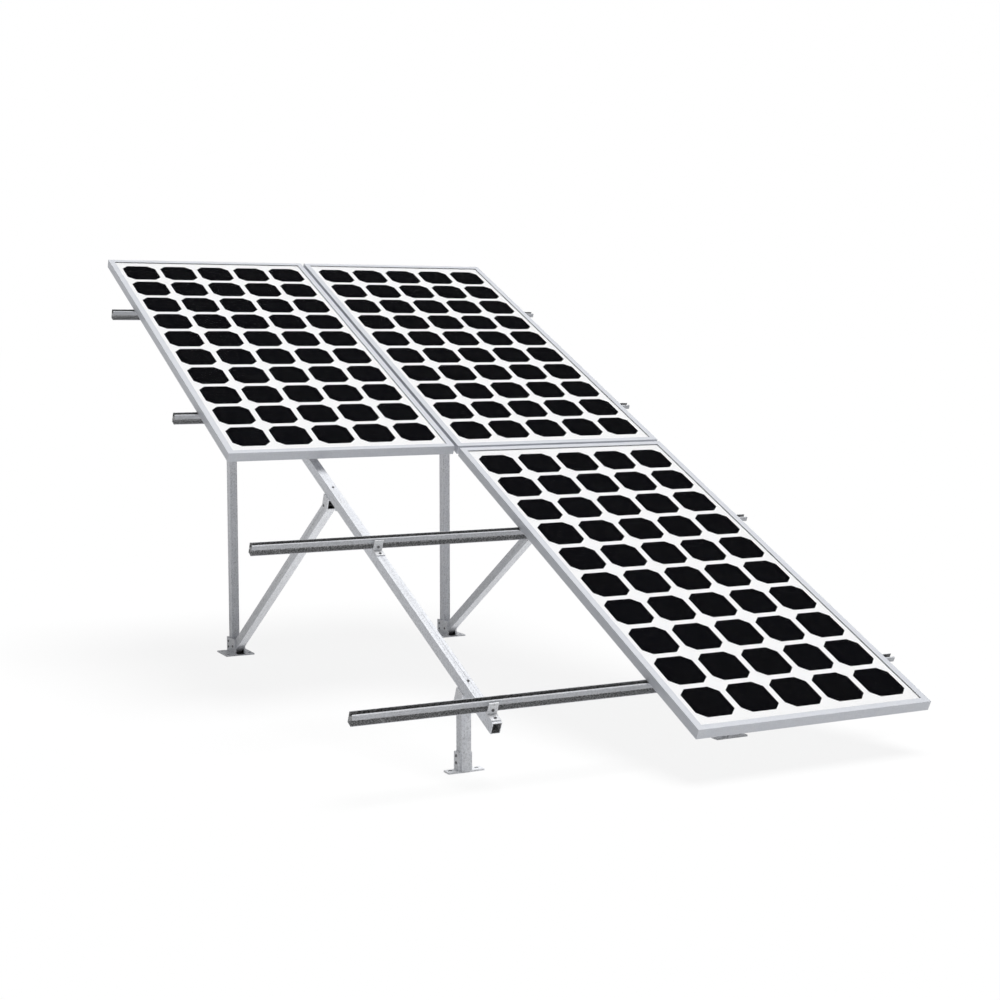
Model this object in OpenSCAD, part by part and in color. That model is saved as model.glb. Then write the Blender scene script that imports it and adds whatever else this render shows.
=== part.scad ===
// Ground mounted aluminium support for solar modules, three modules on four rails.
// X runs along the rails, Y runs uphill towards the rear, Z is up and 0 is the ground.

/* [Array] */
// Slope of the module plane, degrees
tilt = 24.4; // [20:0.1:30]
// Height of the array centre above the ground, at the top face of the module frames
centre_h = 1019; // [950:1:1200]
// Gap between neighbouring modules
module_gap = 16; // [10:1:24]
// Shift of the modules along the rails from the middle of the rails
array_shift = 5; // [-20:1:20]

/* [Solar module] */
// Width of a module
module_w = 988; // [980:1:1010]
// Length of a module up the slope
module_l = 2002; // [1990:1:2040]
// Height of the module frame
frame_h = 38; // [36:1:46]
// Width of the top face of the frame
frame_lip = 26; // [22:1:30]
// Depth of the glass below the top face of the frame
glass_recess = 1.8; // [1.4:0.2:4]
// Thickness of the front glass
glass_t = 3.2; // [2:0.2:4]
// Number of cells across a module
cell_columns = 5; // [2:1:5]
// Number of cells along a module
cell_rows = 10; // [2:1:10]
// Spacing of the cells across
cell_pitch_x = 184; // [170:0.5:185]
// Spacing of the cells along the slope
cell_pitch_y = 189.5; // [175:0.5:190]
// Width of a cell
cell_w = 159; // [120:1:165]
// Length of a cell
cell_l = 165; // [120:1:170]
// Cut on each corner of a cell
cell_corner = 31; // [5:1:40]

/* [Rail] */
// Length of a rail
rail_l = 2184; // [2150:1:2400]
// Width of a rail
rail_w = 28; // [28:1:32]
// Height of a rail
rail_h = 42; // [42:1:46]
// Place of the lowest rail on the slope, from the array centre
rail_first = -1675; // [-1700:1:-1650]
// Spacing of the rails up the slope
rail_step = 1054; // [1040:1:1070]

/* [Support] */
// Distance between the two supports
support_spacing = 1095; // [900:1:1200]
// Middle of the two supports, from the middle of the rails
support_shift = -50; // [-60:1:20]
// Width of the rectangular tube of beams, legs and braces
tube_w = 36; // [32:1:40]
// Depth of that tube
tube_d = 43; // [40:1:46]
// Wall of that tube
tube_wall = 3; // [2:0.5:4]
// Length of beam past the outer rails
beam_over = 79; // [76:1:110]
// Place of the front leg
front_leg_y = -1316; // [-1330:1:-1290]
// Place of the rear leg
rear_leg_y = 1170; // [1130:1:1200]

/* [Foot] */
// Width of a foot plate
foot_w = 136; // [132:1:160]
// Length of the front foot plate
front_foot_l = 43; // [42:1:50]
// Thickness of the plate of a foot
foot_t = 6; // [5:0.5:8]
// Thickness of the cheeks of a foot
foot_cheek_t = 7.5; // [6:0.5:9]
// Height of the cheeks above the ground
foot_h = 71; // [68:1:80]
// Distance between the anchor slots of a foot
anchor_spacing = 100; // [96:1:102]
// Width of an anchor slot
anchor_slot_w = 11; // [9:1:13]
// Length of an anchor slot
anchor_slot_l = 16; // [14:1:18]

/* [Bracket] */
// Wall of the folded brackets under the beam
bracket_t = 5; // [4:0.5:5]
// Length of a bracket along the beam
bracket_l = 51; // [50:1:54]
// Depth of the bracket cheeks
bracket_h = 62; // [60:1:66]
// Distance from the beam down to the cross bolt
bracket_bolt_drop = 45; // [44:1:47]
// Place of the brace bracket on the beam, from the array centre
brace_bracket_u = -154; // [-260:1:-60]

/* [Cleat] */
// Thickness of an angle cleat
cleat_t = 5; // [4:0.5:6]
// Length of the flange that lies on the beam
cleat_l = 55; // [52:1:60]
// Height of the upright of a cleat
cleat_h = 46; // [40:1:48]
// Gap between the upright and the rail, bridged by a sleeve
cleat_gap = 14; // [8:1:16]

/* [Fasteners] */
// Radius of the bolts of the support
bolt_r = 3; // [2.5:0.5:3]
// Radius of the holes for those bolts
hole_r = 3.5; // [3.5:0.5:4]
// Radius of the bolts that hold the modules
module_bolt_r = 4; // [3:0.5:4]
// Radius of the holes for those bolts
module_hole_r = 4.5; // [4.5:0.5:5]

/* [Hidden] */
$fn = 32;
eps = 0.01;

// Origin of the slope, set so that the whole stands centred on Y = 0
slope_y0 = -frame_h * sin(tilt) / 2;
LEFT = support_shift - support_spacing / 2;
RIGHT = support_shift + support_spacing / 2;

// Places of the modules, as the middle of each on the slope
half_x = (module_w + module_gap) / 2;
half_u = (module_l + module_gap) / 2;
UPPER_LEFT = [array_shift - half_x, half_u];
UPPER_RIGHT = [array_shift + half_x, half_u];
LOWER_RIGHT = [array_shift + half_x, -half_u];

// Profile of the module frame
frame_wall = 2.5;
frame_chamber = 14;
chamber_h = 20;
frame_flange = 30;
cell_t = 0.6;
backsheet_t = 1.2;
laminate_w = module_w - 2 * frame_chamber;
laminate_l = module_l - 2 * frame_chamber;
backsheet_under = glass_recess + glass_t + backsheet_t;
seat_under = backsheet_under + frame_wall;
flange_hole = 16;

// Profile of the rail, heights measured down from its top
rail_wall = 2.5;
rail_lip = 7.5;
rail_slot_h = 14;
rail_web_t = 4;
rail_web_under = rail_slot_h + rail_web_t;
slot_middle = 3;

// Levels below the top face of the frames
rail_top = -frame_h;
beam_top = rail_top - rail_h;
beam_under = beam_top - tube_d;
beam_from = rail_first - beam_over;
beam_to = rail_first + 3 * rail_step + beam_over;

// Fasteners, as shares of the radius of the bolt
head_share = 1.7;
head_h_share = 0.85;
socket_share = 0.95;
socket_d_share = 0.6;
nut_share = 1.92;
nut_h_share = 1.65;
tail_share = 0.85;
nut_play = 0.15;

// Bolts of the modules, one line at each side bar
module_bolt_x = [
    UPPER_LEFT[0] - module_w / 2 + flange_hole, UPPER_LEFT[0] + module_w / 2 - flange_hole,
    UPPER_RIGHT[0] - module_w / 2 + flange_hole, UPPER_RIGHT[0] + module_w / 2 - flange_hole
];

// Front foot, measured from its leg, which stands proud of it
front_foot_shift = 6;
front_bolt_z = [32, 57];
front_cheek_l = 39;
front_plate_shift = 4;
front_anchor_y = 12;

// Rear foot, measured from its leg
rear_bolt_shift = 12;
rear_bolt_z = [26, 52];
brace_bolt_y = rear_leg_y - 50;
brace_bolt_z = 36;
rear_cheek_from = -81;
rear_cheek_to = 36;
rear_plate_from = -108;
rear_plate_shift = -6;
rear_anchor_y = 12;
rear_anchor_step = 92;

// Brackets and cleats on the beam
beam_bolt_shift = -3;
leg_bolt_offset = -4;
brace_bolt_offset = 7;
brace_cheek_h = 55;
cleat_bolt_h = 19;
cleat_bolt_l = 44;
cleat_fillet = 3;
sleeve_r = 4.75;
leg_top_gap = 9;

// Ends of a brace past its bolts, and the bolts above the middle of its tube
brace_end_low = 15;
brace_end_high = 12;
brace_bolt_side = 2.5;

// World height and place of a point on the slope
function slope_y(u, v) = slope_y0 + u * cos(tilt) - v * sin(tilt);
function slope_z(u, v) = centre_h + u * sin(tilt) + v * cos(tilt);
// Height of the underside of the beam above a place on the ground
function under_z(y) = centre_h + (y - slope_y0) * tan(tilt) + beam_under / cos(tilt);
// Place along the beam of the cross bolt of an upright leg
function leg_bolt_u(y) =
    (y - slope_y0 + beam_under * sin(tilt)) / cos(tilt) - bracket_bolt_drop * tan(tilt);
function rail_u(i) = rail_first + (i - 1) * rail_step;

front_bolt_u = leg_bolt_u(front_leg_y);
rear_bolt_u = leg_bolt_u(rear_leg_y);
front_bracket_u = front_bolt_u - leg_bolt_offset;
rear_bracket_u = rear_bolt_u - leg_bolt_offset;
bolt_v = beam_under - bracket_bolt_drop;
brace_top_u = brace_bracket_u + brace_bolt_offset;
brace_rise = slope_z(brace_top_u, bolt_v) - brace_bolt_z;
brace_run = brace_bolt_y - slope_y(brace_top_u, bolt_v);
brace_angle = atan2(brace_rise, brace_run);
brace_l = norm([brace_rise, brace_run]);

// Frame of the slope: Y up the slope, Z square to the modules, 0 at the top of the frames
module on_slope() {
    translate([0, slope_y0, centre_h])
        rotate([tilt, 0, 0])
            children();
}

// Hole along X right through a tube or a pair of cheeks
module cross_hole(y, z) {
    translate([-50, y, z])
        rotate([0, 90, 0])
            cylinder(r = hole_r, h = 100);
}

// Hole along Z of the frame it is drawn in
module drop_hole(x, y, z_from, z_to, r = hole_r) {
    translate([x, y, z_from])
        cylinder(r = r, h = z_to - z_from);
}

// Rectangular tube, lying along Y from 0 to its length
module tube(length) {
    difference() {
        translate([-tube_w / 2, 0, -tube_d / 2])
            cube([tube_w, length, tube_d]);
        translate([tube_wall - tube_w / 2, -1, tube_wall - tube_d / 2])
            cube([tube_w - 2 * tube_wall, length + 2, tube_d - 2 * tube_wall]);
    }
}

// Rectangle with round corners, seen from above
module round_plate(x_from, x_to, y_from, y_to, r) {
    translate([x_from + r, y_from])
        square([x_to - x_from - 2 * r, y_to - y_from]);
    translate([x_from, y_from + r])
        square([x_to - x_from, y_to - y_from - 2 * r]);
    for (x = [x_from + r, x_to - r], y = [y_from + r, y_to - r])
        translate([x, y])
            circle(r = r);
}

// Long hole with round ends along X
module slot_hole(x, y) {
    straight = anchor_slot_l - anchor_slot_w;
    translate([x, y, -1]) {
        translate([-straight / 2, -anchor_slot_w / 2, 0])
            cube([straight, anchor_slot_w, foot_t + 2]);
        for (side = [-1, 1])
            translate([side * straight / 2, 0, 0])
                cylinder(r = anchor_slot_w / 2, h = foot_t + 2);
    }
}

// Sloping beam of one support
module beam(x) {
    color("lightgray")
        on_slope()
            difference() {
                translate([x, beam_from, beam_top - tube_d / 2])
                    tube(beam_to - beam_from);
                for (u = [front_bracket_u, brace_bracket_u, rear_bracket_u])
                    drop_hole(x, u + beam_bolt_shift, beam_under - 1, beam_top + 1);
                for (i = [1:4])
                    drop_hole(x, rail_u(i) - rail_w / 2 - cleat_bolt_l, beam_under - 1, beam_top + 1);
            }
}

// Upright leg, standing in its foot, its top cut along the slope under the bracket
module leg(x, y, bolt_u, foot_bolt_shift, foot_bolt_z) {
    color("silver")
        difference() {
            translate([x, y, foot_t])
                rotate([90, 0, 0])
                    tube(under_z(y + tube_d) - foot_t);
            on_slope()
                translate([x - tube_w, bolt_u - tube_d, beam_under - bracket_t - leg_top_gap])
                    cube([2 * tube_w, 3 * tube_d, 2 * tube_d]);
            for (z = foot_bolt_z)
                translate([x, 0, 0])
                    cross_hole(y + foot_bolt_shift, z);
            translate([x, 0, 0])
                cross_hole(y, slope_z(bolt_u, bolt_v));
        }
}

// Brace from the rear foot up and forward to the beam
module brace(x) {
    color("silver")
        translate([x, brace_bolt_y, brace_bolt_z])
            rotate([-brace_angle, 0, 0])
                difference() {
                    translate([0, -brace_l - brace_end_high, -brace_bolt_side])
                        tube(brace_l + brace_end_high + brace_end_low);
                    cross_hole(0, 0);
                    cross_hole(-brace_l, 0);
                }
}

// One cheek of a foot, standing on its plate
module foot_cheek(y_from, y_to) {
    translate([tube_w / 2, 0, 0])
        rotate([90, 0, 90])
            linear_extrude(foot_cheek_t) {
                translate([y_from, foot_t - eps])
                    square([y_to - y_from, foot_h - foot_t - 4]);
                round_plate(y_from, y_to, foot_h - 20, foot_h, 4);
            }
}

// Foot of a front leg: base plate with two slots and two cheeks
module front_foot(x) {
    color("lightgray")
        translate([x, front_leg_y + front_foot_shift, 0])
            difference() {
                union() {
                    linear_extrude(foot_t)
                        round_plate(front_plate_shift - foot_w / 2, front_plate_shift + foot_w / 2,
                            -front_foot_l / 2, front_foot_l / 2, 2);
                    for (side = [0, 1])
                        mirror([side, 0, 0])
                            foot_cheek(-front_cheek_l / 2, front_cheek_l / 2);
                }
                for (side = [-1, 1])
                    slot_hole(front_plate_shift + side * anchor_spacing / 2,
                        front_anchor_y - front_foot_shift);
                for (z = front_bolt_z)
                    cross_hole(0, z);
            }
}

// Foot of a rear leg and its brace: a longer plate with four slots
module rear_foot(x) {
    plate_x = rear_plate_shift;
    color("lightgray")
        translate([x, rear_leg_y, 0])
            difference() {
                union() {
                    linear_extrude(foot_t)
                        round_plate(plate_x - foot_w / 2, plate_x + foot_w / 2,
                            rear_plate_from, rear_cheek_to, 2);
                    for (side = [0, 1])
                        mirror([side, 0, 0])
                            foot_cheek(rear_cheek_from, rear_cheek_to);
                }
                for (side = [-1, 1], back = [0, 1])
                    slot_hole(plate_x + side * anchor_spacing / 2,
                        rear_anchor_y - back * rear_anchor_step);
                for (z = rear_bolt_z)
                    cross_hole(rear_bolt_shift, z);
                cross_hole(brace_bolt_y - rear_leg_y, brace_bolt_z);
            }
}

// Outline of a bracket cheek, Y along the beam and 0 at the beam, cut to the depth of each end
module cheek_outline(front_depth, rear_depth) {
    r = 8;
    half = bracket_l / 2;
    lean = atan2(rear_depth - front_depth, bracket_l);
    difference() {
        translate([-half, -rear_depth])
            square([bracket_l, rear_depth]);
        translate([-half, -front_depth])
            rotate(-lean)
                translate([-50, -200])
                    square([200, 200]);
        // Round the rear lower corner
        translate([half - r, -rear_depth])
            difference() {
                square([r + 1, r]);
                translate([0, r])
                    circle(r = r);
            }
    }
}

// Folded bracket bolted under the beam, open below for the end of a leg or brace
module head_bracket(x, u, bolt_offset, front_depth) {
    color("gainsboro")
        on_slope()
            translate([x, u, beam_under])
                difference() {
                    union() {
                        translate([-tube_w / 2 - bracket_t, -bracket_l / 2, -bracket_t])
                            cube([tube_w + 2 * bracket_t, bracket_l, bracket_t]);
                        for (side = [0, 1])
                            mirror([side, 0, 0])
                                translate([tube_w / 2, 0, 0])
                                    rotate([90, 0, 90])
                                        linear_extrude(bracket_t)
                                            cheek_outline(front_depth, bracket_h);
                    }
                    drop_hole(0, beam_bolt_shift, -bracket_t - 1, 1);
                    cross_hole(bolt_offset, -bracket_bolt_drop);
                }
}

// Section of a rail, X up the slope and Y square to it, 0 at the middle of its top
module rail_section() {
    half = rail_w / 2;
    // Rear wall
    translate([half - rail_wall, -rail_h])
        square([rail_wall, rail_h]);
    // Front wall of the upper slot with its lip
    translate([-half, -rail_web_under])
        square([rail_wall, rail_web_under]);
    translate([-half, -rail_wall])
        square([rail_lip, rail_wall]);
    // Web between the upper slot and the lower channel
    translate([-half, -rail_web_under])
        square([rail_w, rail_web_t]);
    // Bottom flange
    translate([-half, -rail_h])
        square([rail_w, rail_wall]);
}

// Module rail, drilled for the module bolts and the cleat bolts
module rail(i) {
    color("darkgray")
        on_slope()
            translate([0, rail_u(i), rail_top])
                difference() {
                    translate([-rail_l / 2, 0, 0])
                        rotate([90, 0, 90])
                            linear_extrude(rail_l)
                                rail_section();
                    for (x = module_bolt_x)
                        drop_hole(x, slot_middle, -rail_web_under - 1, -rail_slot_h + 1, module_hole_r);
                    for (x = [LEFT, RIGHT])
                        translate([x, rail_w / 2 - rail_wall - 1, cleat_bolt_h - rail_h])
                            rotate([-90, 0, 0])
                                cylinder(r = hole_r, h = rail_wall + 2);
                }
}

// Angle cleat that holds a rail to a beam, on the downhill side of the rail
module cleat(i, x) {
    color("gainsboro")
        on_slope()
            translate([x, rail_u(i) - rail_w / 2, beam_top])
                difference() {
                    translate([-tube_w / 2, 0, 0])
                        rotate([90, 0, 90])
                            linear_extrude(tube_w)
                                cleat_section();
                    translate([0, 1 - cleat_gap, cleat_bolt_h])
                        rotate([90, 0, 0])
                            cylinder(r = hole_r, h = cleat_t + 2);
                    drop_hole(0, -cleat_bolt_l, -1, cleat_t + 1);
                }
}

// Section of a cleat, with its inner corner filled to a radius
module cleat_section() {
    translate([-cleat_l, 0])
        square([cleat_l, cleat_t]);
    translate([-cleat_gap - cleat_t, 0])
        square([cleat_t, cleat_h]);
    translate([-cleat_gap - cleat_t - cleat_fillet, cleat_t])
        difference() {
            square([cleat_fillet + eps, cleat_fillet]);
            translate([0, cleat_fillet])
                circle(r = cleat_fillet);
        }
}

// Low head socket bolt with its nut, head on Z = 0 and the clamped pieces below it
module bolt(grip, r = bolt_r) {
    nut_h = nut_h_share * r;
    head_h = head_h_share * r;
    socket_d = socket_d_share * r;
    reach = grip + nut_h + tail_share * r;
    color("dimgray") {
        difference() {
            union() {
                cylinder(r = head_share * r, h = head_h);
                translate([0, 0, -reach])
                    cylinder(r = r, h = reach + eps);
            }
            translate([0, 0, head_h - socket_d])
                cylinder(r = socket_share * r, h = socket_d + 1, $fn = 6);
        }
        translate([0, 0, -grip - nut_h])
            difference() {
                cylinder(r = nut_share * r, h = nut_h, $fn = 6);
                translate([0, 0, -1])
                    cylinder(r = r + nut_play, h = nut_h + 2);
            }
    }
}

// Bolt along X with its head on the left
module cross_bolt(width) {
    translate([-width / 2, 0, 0])
        rotate([0, -90, 0])
            bolt(width);
}

// Bolts that hold legs and braces in the feet
module foot_bolts() {
    width = tube_w + 2 * foot_cheek_t;
    for (x = [LEFT, RIGHT]) {
        for (z = front_bolt_z)
            translate([x, front_leg_y + front_foot_shift, z])
                cross_bolt(width);
        for (z = rear_bolt_z)
            translate([x, rear_leg_y + rear_bolt_shift, z])
                cross_bolt(width);
        translate([x, brace_bolt_y, brace_bolt_z])
            cross_bolt(width);
    }
}

// Bolts that hold legs and braces in the brackets under the beams
module bracket_bolts() {
    for (x = [LEFT, RIGHT], u = [front_bolt_u, rear_bolt_u, brace_top_u])
        on_slope()
            translate([x, u, bolt_v])
                cross_bolt(tube_w + 2 * bracket_t);
}

// Bolts that hold the brackets to the beams
module beam_bolts() {
    for (x = [LEFT, RIGHT], u = [front_bracket_u, brace_bracket_u, rear_bracket_u])
        on_slope()
            translate([x, u + beam_bolt_shift, beam_top])
                bolt(tube_d + bracket_t);
}

// Bolts through the cleats, one into the rail and one down through the beam
module cleat_bolts() {
    for (x = [LEFT, RIGHT], i = [1:4])
        on_slope()
            translate([x, rail_u(i) - rail_w / 2, beam_top]) {
                translate([0, -cleat_gap - cleat_t, cleat_bolt_h])
                    rotate([90, 0, 0])
                        bolt(cleat_t + cleat_gap + rail_w);
                translate([0, -cleat_bolt_l, cleat_t])
                    bolt(cleat_t + tube_d);
            }
}

// Sleeves round the upper cleat bolts, from the upright to the rear wall of the rail
module cleat_sleeves() {
    sleeve_l = cleat_gap + rail_w - rail_wall;
    color("silver")
        for (x = [LEFT, RIGHT], i = [1:4])
            on_slope()
                translate([x, rail_u(i) - rail_w / 2 - cleat_gap, beam_top + cleat_bolt_h])
                    rotate([-90, 0, 0])
                        difference() {
                            cylinder(r = sleeve_r, h = sleeve_l);
                            translate([0, 0, -1])
                                cylinder(r = hole_r, h = sleeve_l + 2);
                        }
}

// Bolts through the lower flange of the module frames and the web of the rails
module module_bolts() {
    flange_top = rail_top + frame_wall;
    for (place = [[1, 2], [1, 3], [2, 2], [2, 3], [3, 0], [3, 1], [3, 2], [3, 3],
                  [4, 0], [4, 1], [4, 2], [4, 3]])
        on_slope()
            translate([module_bolt_x[place[1]], rail_u(place[0]) + slot_middle, flange_top])
                bolt(frame_wall + rail_web_under, module_bolt_r);
}

// Section of a frame bar, X inwards from the outer face and Y up, 0 at the top face
module frame_section() {
    difference() {
        union() {
            // Upper chamber, lip over the glass and seat under the backsheet
            translate([0, -chamber_h])
                square([frame_chamber, chamber_h]);
            translate([0, -glass_recess])
                square([frame_lip, glass_recess]);
            translate([0, -seat_under])
                square([frame_lip, frame_wall]);
            // Outer wall and bottom flange
            translate([0, -frame_h])
                square([frame_wall, frame_h]);
            translate([0, -frame_h])
                square([frame_flange, frame_wall]);
        }
        translate([frame_wall, -chamber_h + frame_wall])
            square([frame_chamber - 2 * frame_wall, chamber_h - 2 * frame_wall]);
    }
}

// Frame bar along Y, outer face on X = 0, both ends mitred
module frame_bar(length) {
    difference() {
        translate([0, length / 2, 0])
            rotate([90, 0, 0])
                linear_extrude(length)
                    frame_section();
        for (side = [0, 1])
            mirror([0, side, 0])
                translate([0, length / 2, -frame_h - 1])
                    rotate([0, 0, -45])
                        cube([100, 100, frame_h + 2]);
    }
}

// Side bar of a module, drilled over its two rails
module frame_side(place, side) {
    rails = place[1] > 0 ? [3, 4] : [1, 2];
    color("lavender")
        on_slope()
            translate([place[0], place[1], 0])
                mirror([side, 0, 0])
                    translate([-module_w / 2, 0, 0])
                        difference() {
                            frame_bar(module_l);
                            for (i = rails)
                                drop_hole(flange_hole, rail_u(i) + slot_middle - place[1],
                                    rail_top - 1, rail_top + frame_wall + 1, module_hole_r);
                        }
}

// End bar of a module, top or bottom
module frame_end(place, side) {
    color("lavender")
        on_slope()
            translate([place[0], place[1], 0])
                mirror([0, side, 0])
                    translate([0, module_l / 2, 0])
                        rotate([0, 0, -90])
                            frame_bar(module_w);
}

// Front glass, held in the groove of the frame
module glass(place) {
    color("aliceblue")
        on_slope()
            translate([place[0] - laminate_w / 2, place[1] - laminate_l / 2, -glass_recess - glass_t])
                cube([laminate_w, laminate_l, glass_t]);
}

// Outline of one cell, a square with its corners cut
module cell_outline() {
    a = cell_w / 2;
    b = cell_l / 2;
    c = cell_corner;
    polygon([[c - a, -b], [a - c, -b], [a, c - b], [a, b - c],
             [a - c, b], [c - a, b], [-a, b - c], [-a, c - b]]);
}

// The field of cells of a module, as separate solids of a given thickness
module cell_field(thickness) {
    for (column = [0:cell_columns - 1], row = [0:cell_rows - 1])
        translate([(column - (cell_columns - 1) / 2) * cell_pitch_x,
                   (row - (cell_rows - 1) / 2) * cell_pitch_y, -thickness])
            linear_extrude(thickness)
                cell_outline();
}

// Cells under the glass
module cells(place) {
    color("black")
        on_slope()
            translate([place[0], place[1], -glass_recess - glass_t])
                cell_field(cell_t);
}

// White backsheet with a shallow seat for each cell
module backsheet(place) {
    color("white")
        on_slope()
            translate([place[0], place[1], -glass_recess - glass_t])
                difference() {
                    translate([-laminate_w / 2, -laminate_l / 2, -backsheet_t])
                        cube([laminate_w, laminate_l, backsheet_t]);
                    translate([0, 0, 1])
                        cell_field(cell_t + 1);
                }
}

// Junction box on the back of a module, near its upper end
module junction_box(place) {
    box_w = 110;
    box_l = 90;
    box_h = 20;
    lid_h = 3;
    color("black")
        on_slope()
            translate([place[0], place[1] + module_l / 2 - 140, -backsheet_under]) {
                translate([0, 0, -box_h])
                    linear_extrude(box_h)
                        round_plate(-box_w / 2, box_w / 2, -box_l / 2, box_l / 2, 6);
                translate([0, 0, -box_h - lid_h])
                    linear_extrude(lid_h + eps)
                        round_plate(-box_w / 2 + 4, box_w / 2 - 4, -box_l / 2 + 4, box_l / 2 - 4, 4);
            }
}

beam(LEFT);  // beam_left
beam(RIGHT);  // beam_right
leg(LEFT, front_leg_y, front_bolt_u, front_foot_shift, front_bolt_z);  // front_leg_left
leg(RIGHT, front_leg_y, front_bolt_u, front_foot_shift, front_bolt_z);  // front_leg_right
leg(LEFT, rear_leg_y, rear_bolt_u, rear_bolt_shift, rear_bolt_z);  // rear_leg_left
leg(RIGHT, rear_leg_y, rear_bolt_u, rear_bolt_shift, rear_bolt_z);  // rear_leg_right
brace(LEFT);  // brace_left
brace(RIGHT);  // brace_right
front_foot(LEFT);  // front_foot_left
front_foot(RIGHT);  // front_foot_right
rear_foot(LEFT);  // rear_foot_left
rear_foot(RIGHT);  // rear_foot_right
head_bracket(LEFT, front_bracket_u, leg_bolt_offset, bracket_h);  // front_bracket_left
head_bracket(RIGHT, front_bracket_u, leg_bolt_offset, bracket_h);  // front_bracket_right
head_bracket(LEFT, rear_bracket_u, leg_bolt_offset, bracket_h);  // rear_bracket_left
head_bracket(RIGHT, rear_bracket_u, leg_bolt_offset, bracket_h);  // rear_bracket_right
head_bracket(LEFT, brace_bracket_u, brace_bolt_offset, brace_cheek_h);  // brace_bracket_left
head_bracket(RIGHT, brace_bracket_u, brace_bolt_offset, brace_cheek_h);  // brace_bracket_right
rail(1);  // rail_1
rail(2);  // rail_2
rail(3);  // rail_3
rail(4);  // rail_4
cleat(1, LEFT);  // cleat_1_left
cleat(2, LEFT);  // cleat_2_left
cleat(3, LEFT);  // cleat_3_left
cleat(4, LEFT);  // cleat_4_left
cleat(1, RIGHT);  // cleat_1_right
cleat(2, RIGHT);  // cleat_2_right
cleat(3, RIGHT);  // cleat_3_right
cleat(4, RIGHT);  // cleat_4_right
foot_bolts();
bracket_bolts();
beam_bolts();
cleat_bolts();
cleat_sleeves();
module_bolts();
frame_side(UPPER_LEFT, 0);  // upper_left_frame_left
frame_side(UPPER_LEFT, 1);  // upper_left_frame_right
frame_end(UPPER_LEFT, 0);  // upper_left_frame_top
frame_end(UPPER_LEFT, 1);  // upper_left_frame_bottom
glass(UPPER_LEFT);  // upper_left_glass
cells(UPPER_LEFT);  // upper_left_cells
backsheet(UPPER_LEFT);  // upper_left_backsheet
junction_box(UPPER_LEFT);  // upper_left_junction_box
frame_side(UPPER_RIGHT, 0);  // upper_right_frame_left
frame_side(UPPER_RIGHT, 1);  // upper_right_frame_right
frame_end(UPPER_RIGHT, 0);  // upper_right_frame_top
frame_end(UPPER_RIGHT, 1);  // upper_right_frame_bottom
glass(UPPER_RIGHT);  // upper_right_glass
cells(UPPER_RIGHT);  // upper_right_cells
backsheet(UPPER_RIGHT);  // upper_right_backsheet
junction_box(UPPER_RIGHT);  // upper_right_junction_box
frame_side(LOWER_RIGHT, 0);  // lower_right_frame_left
frame_side(LOWER_RIGHT, 1);  // lower_right_frame_right
frame_end(LOWER_RIGHT, 0);  // lower_right_frame_top
frame_end(LOWER_RIGHT, 1);  // lower_right_frame_bottom
glass(LOWER_RIGHT);  // lower_right_glass
cells(LOWER_RIGHT);  // lower_right_cells
backsheet(LOWER_RIGHT);  // lower_right_backsheet
junction_box(LOWER_RIGHT);  // lower_right_junction_box
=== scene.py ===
"""Looks for the ground mounted solar rack: procedural materials, fine detail, camera and light."""
import math

import bpy
from mathutils import Matrix, Vector

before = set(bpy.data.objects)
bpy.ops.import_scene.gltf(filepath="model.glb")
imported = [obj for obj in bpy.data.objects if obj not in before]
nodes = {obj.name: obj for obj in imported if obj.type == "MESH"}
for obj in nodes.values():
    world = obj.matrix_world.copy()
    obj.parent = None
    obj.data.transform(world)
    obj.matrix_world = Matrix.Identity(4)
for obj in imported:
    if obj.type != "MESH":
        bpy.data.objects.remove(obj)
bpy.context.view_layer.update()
scene = bpy.context.scene

# Slopes of the modules and of the braces
TILT = math.radians(24.4)
BRACE = math.radians(32.83)

# Masks of painted shade inside hollow pieces stay this far inside their outer faces, in metres
RAIL_SKIN, TUBE_SKIN = 0.0006, 0.0025

# The upper part of a rail's inside reaches this far down, just past the web's underside,
# and the channel is below it
ABOVE_CHANNEL = 0.01805

# A mask that takes a face reaches this far past it
PAST_FACE = 0.0004

# Feet: the top of the slots' walls and the floor of the corner under the brace, both just
# under the top of the plates, and the heights between which the corner's painted shadow fades
SLOT_WALL_TOP, CORNER_FLOOR = 0.0057, 0.0055
CORNER_FADE = 0.018, 0.030

# Anchor slots from the middle of a leg, in metres: shift and half step in X, then in Y
SLOTS = {"front_leg_left": ((0.004, 0.050), (0.012, 0.0)),
         "rear_leg_left": ((-0.006, 0.050), (-0.034, 0.046))}

# Reach of one slot's walls from its middle in X and Y
SLOT_REACH_X, SLOT_REACH_Y = 0.0086, 0.0061

# How pale the painted shade on inner faces and corners is, from 0 to 1
SHADE_PALENESS = {"beam": 0.45, "brace": 0.12, "rail": 0.3, "channel": 0.7, "slot": 0.12,
        "corner": 0.05}

# How much thinner the glass is than in the source, so that it doesn't share a face with
# the sheet and the cells, and how near two points of a mesh are to be one
GLASS_PLAY = 0.00008
WELD_REACH = 0.00002

# Floor: half its width in metres, the grey and the glow that light the object, then the
# paler grey that the camera sees, which takes shadows, and the share of white mixed in
FLOOR_REACH = 150
GROUND_GREY, GROUND_GLOW = 0.58, 0.17
SHADOWED_GREY, WHITE_SHARE = 0.96, 0.88

# Light that the surroundings give, and what the camera sees of them
SKY_COLOUR, SKY_STRENGTH = (0.97, 0.98, 1.0, 1), 0.14
WHITE = (1, 1, 1, 1)

# Camera: place in metres, turn in degrees and lens in millimetres
CAMERA_PLACE = (-3.0908, -6.4919, 1.4946)
CAMERA_DOWN = 5.566
CAMERA_YAW = 26.958
CAMERA_LENS = 61.595

# Bevel of the edges of each kind of piece, in millimetres
EDGES = {"beam": 0.8, "leg": 0.8, "brace": 0.8, "rail": 0.4, "foot": 0.6, "bracket": 0.6,
         "side": 0.5, "end": 0.5, "box": 0.8, "bolts": 0.25}

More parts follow.
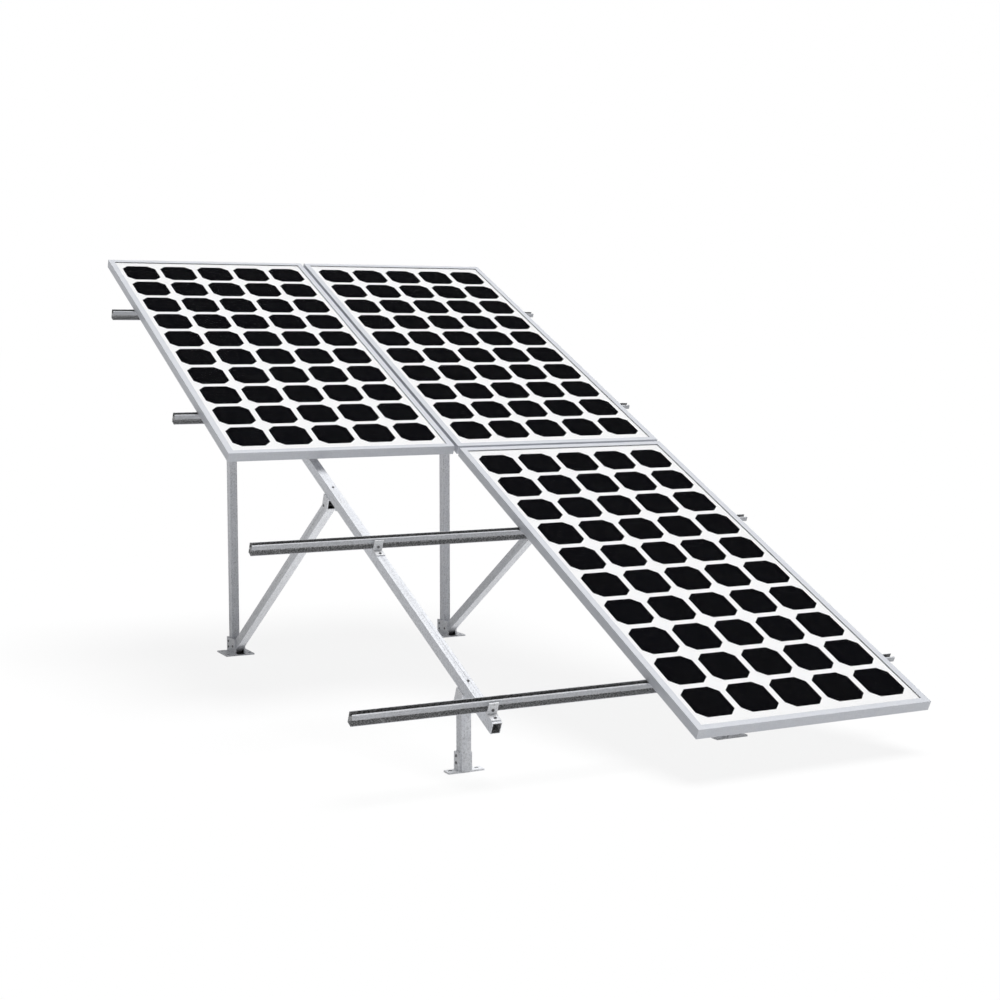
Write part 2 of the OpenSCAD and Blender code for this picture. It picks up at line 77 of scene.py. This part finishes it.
# Kind of a piece by the end of its node's name, then by its start
ENDINGS = (("_cells", "cells"), ("_glass", "glass"), ("_backsheet", "backsheet"),
           ("_junction_box", "box"), ("_bolts", "bolts"),
           ("frame_left", "side"), ("frame_right", "side"),
           ("frame_top", "end"), ("frame_bottom", "end"))
STARTS = (("cleat", "bracket"), ("rail", "rail"), ("beam", "beam"), ("brace", "brace"))


def reach(name, turn=0.0):
    """Middle of a node's box and half its size, in coordinates turned about X."""
    back = Matrix.Rotation(-turn, 3, "X")
    places = [back @ v.co for v in nodes[name].data.vertices]
    low, high = [Vector(map(pick, zip(*places))) for pick in (min, max)]
    return (low + high) / 2, (high - low) / 2


def camera():
    """Camera of the photograph."""
    data = bpy.data.cameras.new("camera")
    data.lens = CAMERA_LENS
    data.sensor_width = 36
    data.clip_end = 400
    obj = bpy.data.objects.new("camera", data)
    obj.location = CAMERA_PLACE
    obj.rotation_euler = (math.radians(90 - CAMERA_DOWN), 0, math.radians(-CAMERA_YAW))
    scene.collection.objects.link(obj)
    scene.camera = obj


class Shader:
    """A material with one Principled shader and short calls for the nodes around it."""

    def __init__(self, name, **inputs):
        self.material = bpy.data.materials.new(name)
        self.material.use_nodes = True
        self.tree = self.material.node_tree
        self.shader = self.tree.nodes["Principled BSDF"]
        for key, value in inputs.items():
            self.shader.inputs[key.replace("_", " ")].default_value = value

    def node(self, kind, **settings):
        node = self.tree.nodes.new("ShaderNode" + kind)
        for key, value in settings.items():
            setattr(node, key, value)
        return node

    def link(self, a, b):
        self.tree.links.new(a, b)

    def coords(self, scale=(1, 1, 1), turn=0.0):
        """Object coordinates turned about X, so that Y runs along the piece, then scaled."""
        source = self.node("TexCoord")
        turned = self.node("Mapping", vector_type="TEXTURE")
        turned.inputs["Rotation"].default_value = (turn, 0, 0)
        scaled = self.node("Mapping")
        scaled.inputs["Scale"].default_value = scale
        self.link(source.outputs["Object"], turned.inputs["Vector"])
        self.link(turned.outputs[0], scaled.inputs["Vector"])
        return scaled.outputs[0]

    def noise(self, vector, scale, detail=3.0, rough=0.5):
        node = self.node("TexNoise")
        node.inputs["Scale"].default_value = scale
        node.inputs["Detail"].default_value = detail
        node.inputs["Roughness"].default_value = rough
        self.link(vector, node.inputs["Vector"])
        return node.outputs["Fac"]

    def spread(self, value, low, high, low_out, high_out):
        node = self.node("MapRange")
        for key, number in (("From Min", low), ("From Max", high),
                            ("To Min", low_out), ("To Max", high_out)):
            node.inputs[key].default_value = number
        self.link(value, node.inputs["Value"])
        return node.outputs[0]

    def feed(self, value, socket):
        """Give a socket another socket's value, or a plain one."""
        if isinstance(value, bpy.types.NodeSocket):
            self.link(value, socket)
        else:
            socket.default_value = value

    def mix(self, factor, a, b):
        """Mix two colours, each a socket or a plain one, by a number or a socket."""
        node = self.node("Mix", data_type="RGBA")
        for value, socket in zip((factor, a, b), (0, 6, 7)):
            self.feed(value, node.inputs[socket])
        return node.outputs[2]

    def math(self, operation, a, b=0.0):
        node = self.node("Math", operation=operation)
        self.feed(a, node.inputs[0])
        self.feed(b, node.inputs[1])
        return node.outputs[0]

    def both(self, *masks):
        """Product of two or more masks."""
        product = masks[0]
        for mask in masks[1:]:
            product = self.math("MULTIPLY", product, mask)
        return product

    def below(self, value, limit):
        return self.math("LESS_THAN", value, limit)

    def from_place(self, value, place):
        """How far a coordinate is from a place."""
        return self.math("ABSOLUTE", self.math("SUBTRACT", value, place))

    def places(self, turn=0.0):
        """X, Y and Z of a point in coordinates turned about X."""
        parts = self.node("SeparateXYZ")
        self.link(self.coords(turn=turn), parts.inputs[0])
        return parts.outputs["X"], parts.outputs["Y"], parts.outputs["Z"]

    def bump(self, height, strength, depth):
        node = self.node("Bump")
        node.inputs["Strength"].default_value = strength
        node.inputs["Distance"].default_value = depth
        self.link(height, node.inputs["Height"])
        self.link(node.outputs[0], self.shader.inputs["Normal"])


def tint(value, blue):
    """Grey of a level, with its red and green held back by a share."""
    return (value * (1 - blue), value * (1 - 0.7 * blue), value, 1)


def rail_painted_shade(m):
    """Masks of painted shade on the faces inside a rail, with how pale each is: all, then the lower
    channel's.
    """
    x, y, z = m.places(TILT)
    middle, half = reach("rail_1", TILT)
    step = reach("rail_2", TILT)[0].y - middle.y
    steps = m.math("DIVIDE", m.math("SUBTRACT", y, middle.y), step)
    past_rail = m.math("SUBTRACT", steps, m.math("ROUND", steps))
    across = m.math("MULTIPLY", past_rail, step)
    flat = m.below(m.math("ABSOLUTE", across), half.y - RAIL_SKIN)
    deep = m.below(m.from_place(z, middle.z), half.z - RAIL_SKIN)
    inner = m.both(flat, deep)
    channel = m.below(z, middle.z + half.z - ABOVE_CHANNEL)
    return [(inner, SHADE_PALENESS["rail"]), (m.both(inner, channel), SHADE_PALENESS["channel"])]


def from_support(m, x):
    """Signed distance in X from the middle plane of the nearer support."""
    left, right = [reach(name)[0].x for name in ("beam_left", "beam_right")]
    right_half = m.math("GREATER_THAN", x, (left + right) / 2)
    shift = m.math("ADD", m.math("MULTIPLY", right_half, right - left), left)
    return m.math("SUBTRACT", x, shift)


def tube_painted_shade(m, name, turn, pale):
    """Mask of painted shade on the inner faces of the tubes of a kind, with how pale it is."""
    x, y, z = m.places(turn)
    middle, half = reach(name, turn)
    across = m.below(m.math("ABSOLUTE", from_support(m, x)), half.x - TUBE_SKIN)
    deep = m.below(m.from_place(z, middle.z), half.z - TUBE_SKIN)
    return [(m.both(across, deep), pale)]


def beam_painted_shade(m):
    # Painted shade inside the beams
    return tube_painted_shade(m, "beam_left", TILT, SHADE_PALENESS["beam"])


def brace_painted_shade(m):
    # Painted shade inside the braces
    return tube_painted_shade(m, "brace_left", -BRACE, SHADE_PALENESS["brace"])


def feet_painted_shade(m):
    """Masks with how pale each is: painted shade on the slots' walls, painted shadow in the corner
    under the brace.
    """
    x, y, z = m.places()
    x = from_support(m, x)
    low = m.below(z, SLOT_WALL_TOP)
    masks = []
    for leg, ((shift_x, half_x), (shift_y, half_y)) in SLOTS.items():
        middle_y = reach(leg)[0].y + shift_y
        across = m.from_place(m.from_place(x, shift_x), half_x)
        along = m.from_place(m.from_place(y, middle_y), half_y)
        near = m.both(m.below(across, SLOT_REACH_X), m.below(along, SLOT_REACH_Y))
        # Painted shade on the walls of the anchor slots
        masks.append((m.both(near, low), SHADE_PALENESS["slot"]))
    # The feet's cheeks lie against the legs
    leg_middle, leg_half = reach("rear_leg_left")
    between = m.below(m.math("ABSOLUTE", x), leg_half.x + PAST_FACE)
    above = m.math("GREATER_THAN", z, CORNER_FLOOR)
    in_front = m.below(y, leg_middle.y)
    fade = m.spread(z, *CORNER_FADE, 1, 0)
    # Painted shadow in the corner between the cheeks in front of the leg, fading upwards
    masks.append((m.both(between, above, in_front, fade), SHADE_PALENESS["corner"]))
    return masks


def aluminium(name, value, along, turn=0.0, blue=0.06, rough=0.5, spot=0.5, flecks=0.08,
              inside=None):
    """Satin aluminium with die lines along the piece, cloudy patches and fine grain.

    spot is how far the grain strays from the colour, and flecks moves it towards few dark
    flecks on a pale ground. inside gives masks of faces that get painted shade.
    """
    m = Shader(name, Metallic=0.05)
    m.shader.inputs["Specular IOR Level"].default_value = 0.25
    stretch = [900, 900, 900]
    stretch["xyz".index(along)] = 9
    lines = m.noise(m.coords(stretch, turn), scale=1.0, detail=2.0)
    clouds = m.noise(m.coords(turn=turn), scale=26.0, detail=4.0, rough=0.6)
    grain = m.noise(m.coords(turn=turn), scale=170.0, detail=3.0, rough=0.7)
    tone = m.math("ADD", m.math("MULTIPLY", lines, 0.35), m.math("MULTIPLY", grain, 0.65))
    low, high = value * (1 - spot), min(0.93, value * (1 + spot))
    speckle = m.spread(tone, 0.39 - flecks, 0.61 - flecks, 0, 1)
    colour = m.mix(speckle, tint(low, blue), tint(high, blue))
    patches = m.spread(clouds, 0.35, 0.7, 0, 0.4)
    colour = m.mix(patches, colour, tint(value * 0.95, blue + 0.05))
    # Painted shade on inner faces and corners, mottled by the grain
    for mask, pale in inside(m) if inside else []:
        shade_mottle = m.spread(grain, 0.38, 0.62, 0, 1)
        painted_shade_colour = m.mix(shade_mottle, tint(pale * 0.3, 0.02), tint(pale * 1.3, 0.02))
        colour = m.mix(mask, colour, painted_shade_colour)
    m.link(colour, m.shader.inputs["Base Color"])
    m.link(m.spread(tone, 0.3, 0.7, rough - 0.07, rough + 0.08), m.shader.inputs["Roughness"])
    m.bump(lines, 0.25, 0.0002)
    return m.material


def cell_material():
    """Near black silicon with a faint crystal shimmer and fine contact fingers."""
    m = Shader("cell", Metallic=0.0)
    m.shader.inputs["Specular IOR Level"].default_value = 0.0
    fine = m.noise(m.coords(turn=TILT), scale=90.0, detail=3.0)
    broad = m.noise(m.coords(turn=TILT), scale=3.0, detail=2.0)
    fingers = m.node("TexWave", wave_type="BANDS", bands_direction="Y", wave_profile="SIN")
    fingers.inputs["Scale"].default_value = 100.0
    m.link(m.coords(turn=TILT), fingers.inputs["Vector"])
    crystals = m.spread(fine, 0.3, 0.7, 0, 1)
    colour = m.mix(crystals, (0.0022, 0.0022, 0.0026, 1), (0.0042, 0.0042, 0.0050, 1))
    colour = m.mix(m.spread(broad, 0.35, 0.65, 0, 0.5), colour, (0.0030, 0.0031, 0.0046, 1))
    contacts = m.spread(fingers.outputs["Fac"], 0.93, 1.0, 0, 0.35)
    colour = m.mix(contacts, colour, (0.010, 0.010, 0.011, 1))
    m.link(colour, m.shader.inputs["Base Color"])
    m.link(m.spread(fine, 0.3, 0.7, 0.38, 0.5), m.shader.inputs["Roughness"])
    m.bump(fine, 0.1, 0.0002)
    return m.material


def glass_material():
    """Low iron front glass with a fine pressed texture, thin enough to show what is under it."""
    m = Shader("front_glass", Alpha=0.02)
    m.shader.inputs["Specular IOR Level"].default_value = 0.1
    m.shader.inputs["Base Color"].default_value = (0.02, 0.022, 0.026, 1)
    pressed = m.noise(m.coords(turn=TILT), scale=260.0, detail=2.0)
    broad = m.noise(m.coords(turn=TILT), scale=5.0, detail=3.0)
    m.link(m.spread(broad, 0.3, 0.7, 0.16, 0.26), m.shader.inputs["Roughness"])
    m.bump(pressed, 0.15, 0.0003)
    m.material.surface_render_method = "BLENDED"
    return m.material


def sheet_material():
    """White backsheet film with a faint cloth print and slight yellowing in patches."""
    m = Shader("backsheet_film", Metallic=0.0)
    weave = m.noise(m.coords(turn=TILT), scale=600.0, detail=2.0)
    broad = m.noise(m.coords(turn=TILT), scale=4.0, detail=3.0)
    cloth = m.spread(weave, 0.3, 0.7, 0, 1)
    colour = m.mix(cloth, (0.93, 0.93, 0.935, 1), (0.965, 0.965, 0.97, 1))
    colour = m.mix(m.spread(broad, 0.4, 0.75, 0, 0.3), colour, (0.93, 0.93, 0.92, 1))
    # The back of the film is greyer
    x, y, z = m.places(TILT)
    middle, half = reach("lower_right_backsheet", TILT)
    back = m.below(z, middle.z - half.z + PAST_FACE)
    grey = m.mix(cloth, (0.28, 0.28, 0.29, 1), (0.34, 0.34, 0.35, 1))
    colour = m.mix(back, colour, grey)
    m.link(colour, m.shader.inputs["Base Color"])
    m.link(m.spread(weave, 0.3, 0.7, 0.55, 0.7), m.shader.inputs["Roughness"])
    m.bump(weave, 0.15, 0.0002)
    return m.material


def plastic_material():
    """Black moulded plastic with a fine spark eroded grain."""
    m = Shader("box_plastic", Metallic=0.0)
    grain = m.noise(m.coords(), scale=900.0, detail=3.0, rough=0.6)
    broad = m.noise(m.coords(), scale=20.0, detail=3.0)
    patches = m.spread(broad, 0.3, 0.7, 0, 1)
    colour = m.mix(patches, (0.012, 0.012, 0.012, 1), (0.022, 0.022, 0.023, 1))
    m.link(colour, m.shader.inputs["Base Color"])
    m.link(m.spread(grain, 0.3, 0.7, 0.42, 0.6), m.shader.inputs["Roughness"])
    m.bump(grain, 0.3, 0.0003)
    return m.material


def steel_material():
    """Stainless fasteners, slightly darker than the aluminium, with turned marks."""
    m = Shader("fastener_steel", Metallic=0.4)
    m.shader.inputs["Specular IOR Level"].default_value = 0.3
    grain = m.noise(m.coords(), scale=1200.0, detail=2.0)
    broad = m.noise(m.coords(), scale=60.0, detail=2.0)
    patches = m.spread(broad, 0.3, 0.7, 0, 1)
    colour = m.mix(patches, (0.12, 0.12, 0.124, 1), (0.19, 0.19, 0.195, 1))
    m.link(colour, m.shader.inputs["Base Color"])
    m.link(m.spread(grain, 0.3, 0.7, 0.3, 0.45), m.shader.inputs["Roughness"])
    m.bump(grain, 0.15, 0.0001)
    return m.material


def kind_of(name):
    """Kind of a node, which gives its material and its bevel."""
    for ending, kind in ENDINGS:
        if name.endswith(ending):
            return kind
    for part in ("foot", "bracket"):
        if part in name:
            return part
    for start, kind in STARTS:
        if name.startswith(start):
            return kind
    return "leg"


def dress_nodes():
    """Gives each solid its material, and all but the flat sheets a fine edge break."""
    anodised = {"value": 0.69, "turn": TILT, "blue": 0.08, "spot": 0.05, "flecks": 0.0,
                "rough": 0.42}
    made = {
        # Beams, braces, rails and feet get painted shade on inner faces and corners
        "beam": aluminium("beam_metal", value=0.84, along="y", turn=TILT, inside=beam_painted_shade),
        "leg": aluminium("leg_metal", value=0.84, along="z", blue=0.05),
        "brace": aluminium("brace_metal", value=0.84, along="y", turn=-BRACE, blue=0.045,
                           inside=brace_painted_shade),
        "rail": aluminium("rail_metal", value=0.56, along="x", turn=TILT, spot=0.22, flecks=0.0,
                          inside=rail_painted_shade),
        "foot": aluminium("foot_metal", value=0.84, along="x", blue=0.04, inside=feet_painted_shade),
        "bracket": aluminium("bracket_metal", value=0.86, along="x", turn=TILT, blue=0.03),
        "side": aluminium("frame_side_metal", along="y", **anodised),
        "end": aluminium("frame_end_metal", along="x", **anodised),
        "cells": cell_material(),
        "glass": glass_material(),
        "backsheet": sheet_material(),
        "box": plastic_material(),
        "bolts": steel_material(),
    }

    for name, obj in nodes.items():
        kind = kind_of(name)
        if kind == "glass":
            # A hair smaller, so that it doesn't share a face with the sheet and the cells
            thin = obj.modifiers.new("thin", "DISPLACE")
            thin.mid_level = 0.0
            thin.strength = -GLASS_PLAY
        obj.data.materials.clear()
        obj.data.materials.append(made[kind])
        if kind in EDGES:
            weld = obj.modifiers.new("weld", "WELD")
            weld.merge_threshold = WELD_REACH
            bevel = obj.modifiers.new("edge", "BEVEL")
            bevel.width = EDGES[kind] / 1000
            bevel.segments = 2
            bevel.limit_method = "ANGLE"
            bevel.angle_limit = math.radians(50)
            bevel.harden_normals = False


def stage():
    """White floor that keeps a soft shadow, and white surroundings that give a faint light."""
    mesh = bpy.data.meshes.new("floor")
    sides = (-1, -1), (1, -1), (1, 1), (-1, 1)
    corners = [(x * FLOOR_REACH, y * FLOOR_REACH, 0) for x, y in sides]
    mesh.from_pydata(corners, [], [(0, 1, 2, 3)])
    floor = bpy.data.objects.new("floor", mesh)
    scene.collection.objects.link(floor)
    material = bpy.data.materials.new("floor_white")
    material.use_nodes = True
    tree = material.node_tree
    tree.nodes.clear()
    out = tree.nodes.new("ShaderNodeOutputMaterial")
    mix = tree.nodes.new("ShaderNodeMixShader")
    # What the camera and mirrors see: nearly white, with a faint shadow
    seen = tree.nodes.new("ShaderNodeMixShader")
    # What the object receives: light from a grey ground with an even glow
    lit = tree.nodes.new("ShaderNodeAddShader")
    ground = tree.nodes.new("ShaderNodeBsdfDiffuse")
    glow = tree.nodes.new("ShaderNodeEmission")
    shadowed = tree.nodes.new("ShaderNodeBsdfDiffuse")
    white = tree.nodes.new("ShaderNodeEmission")
    path = tree.nodes.new("ShaderNodeLightPath")
    ground.inputs["Color"].default_value = tint(GROUND_GREY, blue=0)
    glow.inputs["Strength"].default_value = GROUND_GLOW
    shadowed.inputs["Color"].default_value = tint(SHADOWED_GREY, blue=0)
    white.inputs["Color"].default_value = WHITE
    seen.inputs[0].default_value = WHITE_SHARE
    tree.links.new(shadowed.outputs[0], seen.inputs[1])
    tree.links.new(white.outputs[0], seen.inputs[2])
    tree.links.new(seen_ray(tree, path), mix.inputs[0])
    tree.links.new(ground.outputs[0], lit.inputs[0])
    tree.links.new(glow.outputs[0], lit.inputs[1])
    tree.links.new(lit.outputs[0], mix.inputs[1])
    tree.links.new(seen.outputs[0], mix.inputs[2])
    tree.links.new(mix.outputs[0], out.inputs[0])
    floor.visible_shadow = False
    mesh.materials.append(material)

    world = bpy.data.worlds.new("world")
    scene.world = world
    world.use_nodes = True
    tree = world.node_tree
    tree.nodes.clear()
    out = tree.nodes.new("ShaderNodeOutputWorld")
    mix = tree.nodes.new("ShaderNodeMixShader")
    light = tree.nodes.new("ShaderNodeBackground")
    light.inputs["Color"].default_value = SKY_COLOUR
    light.inputs["Strength"].default_value = SKY_STRENGTH
    seen_white = tree.nodes.new("ShaderNodeBackground")
    seen_white.inputs["Color"].default_value = WHITE
    seen_white.inputs["Strength"].default_value = 1.0
    path = tree.nodes.new("ShaderNodeLightPath")
    tree.links.new(seen_ray(tree, path), mix.inputs[0])
    tree.links.new(light.outputs[0], mix.inputs[1])
    tree.links.new(seen_white.outputs[0], mix.inputs[2])
    tree.links.new(mix.outputs[0], out.inputs[0])


def seen_ray(tree, path):
    """1 for camera, glossy and transmission rays, 0 for the rest."""
    value = path.outputs["Is Camera Ray"]
    for name in ("Is Glossy Ray", "Is Transmission Ray"):
        node = tree.nodes.new("ShaderNodeMath")
        node.operation = "MAXIMUM"
        tree.links.new(value, node.inputs[0])
        tree.links.new(path.outputs[name], node.inputs[1])
        value = node.outputs[0]
    return value


def sun(name, direction, strength, softness):
    """Lamp that shines along a direction, with its softness in degrees."""
    data = bpy.data.lights.new(name, "SUN")
    data.energy = strength
    data.angle = math.radians(softness)
    obj = bpy.data.objects.new(name, data)
    obj.rotation_euler = Vector(direction).to_track_quat("-Z", "Y").to_euler()
    scene.collection.objects.link(obj)


camera()
dress_nodes()
stage()
sun("key", direction=(-0.19, 0.04, -1.0), strength=2.92, softness=36)
sun("below", direction=(0.0, -0.15, 1.0), strength=0.945, softness=20)
scene.view_settings.view_transform = "Standard"
